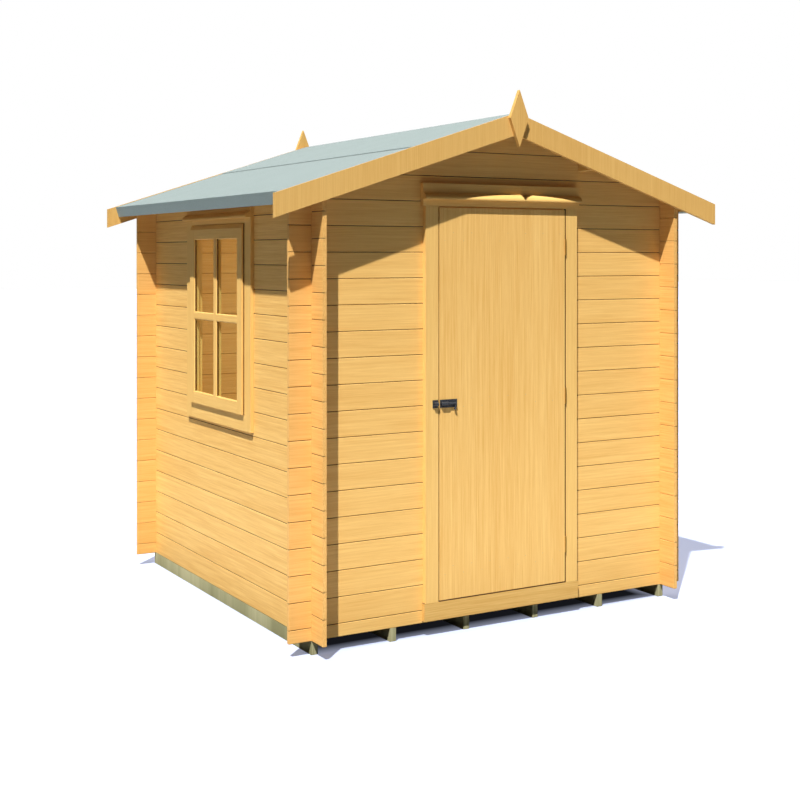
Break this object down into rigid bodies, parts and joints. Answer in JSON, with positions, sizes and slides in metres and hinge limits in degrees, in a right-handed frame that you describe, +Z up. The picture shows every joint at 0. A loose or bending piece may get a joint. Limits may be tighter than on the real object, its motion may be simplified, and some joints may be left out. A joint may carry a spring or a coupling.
{
  "type": "garden log cabin",
  "caption": "Small square garden cabin of interlocking notched logs on bearers, with an apex felt roof, a ledged door that opens and one fixed side window.",
  "frame": {"origin": "on the ground, under the centre of the plan", "axes": "+Z up, +X to the right seen from the door, +Y from the door wall to the rear wall"},
  "size_m": [2.41, 2.2466, 2.4475],
  "materials": {
    "log_timber": "planed softwood, clear honey stain",
    "trim_timber": "planed softwood, clear honey stain",
    "door_timber": "planed softwood boards, clear honey stain",
    "board_timber": "planed softwood boards, unfinished",
    "treated_timber": "sawn pressure-treated softwood, green grey",
    "roofing_felt": "mineral roofing felt, pale blue grey",
    "black_ironmongery": "satin black",
    "brassed_steel": "brass-plated steel, satin",
    "glass": "clear"
  },
  "bodies": {
    "cabin": {"bearers": "treated_timber", "floor_boards": "board_timber", "front_starter_log": "log_timber", "front_logs_left": "log_timber", "front_logs_right": "log_timber", "front_gable_logs": "log_timber", "rear_wall_logs": "log_timber", "rear_gable_logs": "log_timber", "left_logs_below_window": "log_timber", "left_logs_before_window": "log_timber", "left_logs_behind_window": "log_timber", "left_logs_above_window": "log_timber", "right_wall_logs": "log_timber", "ridge_purlin": "trim_timber", "side_purlins": "trim_timber", "roof_boards_left": "board_timber", "roof_boards_right": "board_timber", "eaves_battens": "trim_timber", "felt_left": "roofing_felt", "felt_right": "roofing_felt", "felt_ridge": "roofing_felt", "bargeboards_front": "trim_timber", "bargeboards_rear": "trim_timber", "finial_front": "trim_timber", "finial_rear": "trim_timber", "door_jamb_left": "trim_timber", "door_jamb_right": "trim_timber", "door_head": "trim_timber", "door_threshold": "trim_timber", "door_stops": "trim_timber", "door_drip_moulding": "trim_timber", "hinges_on_frame": "brassed_steel", "bolt_keeper": "black_ironmongery", "window_surround": "trim_timber", "window_drip_moulding": "trim_timber", "window_stops": "trim_timber", "window_casement": "trim_timber", "window_bars": "trim_timber", "window_glass": "glass"},
    "door": {"door_boards": "door_timber", "door_ledges": "door_timber", "door_braces": "door_timber", "hinges_on_door": "brassed_steel", "bolt_plate": "black_ironmongery"},
    "bolt": {"bolt": "black_ironmongery"}
  },
  "joints": [
    {"name": "door_hinge", "type": "hinge", "parent": "cabin", "child": "door", "pos_m": [0.352, -1.0015, 1.0345], "axis": [0, 0, 1], "range_deg": [0, 105]},
    {"name": "bolt_slide", "type": "slide", "parent": "door", "child": "bolt", "axis": [-1, 0, 0], "range_m": [0, 0.03]}
  ]
}
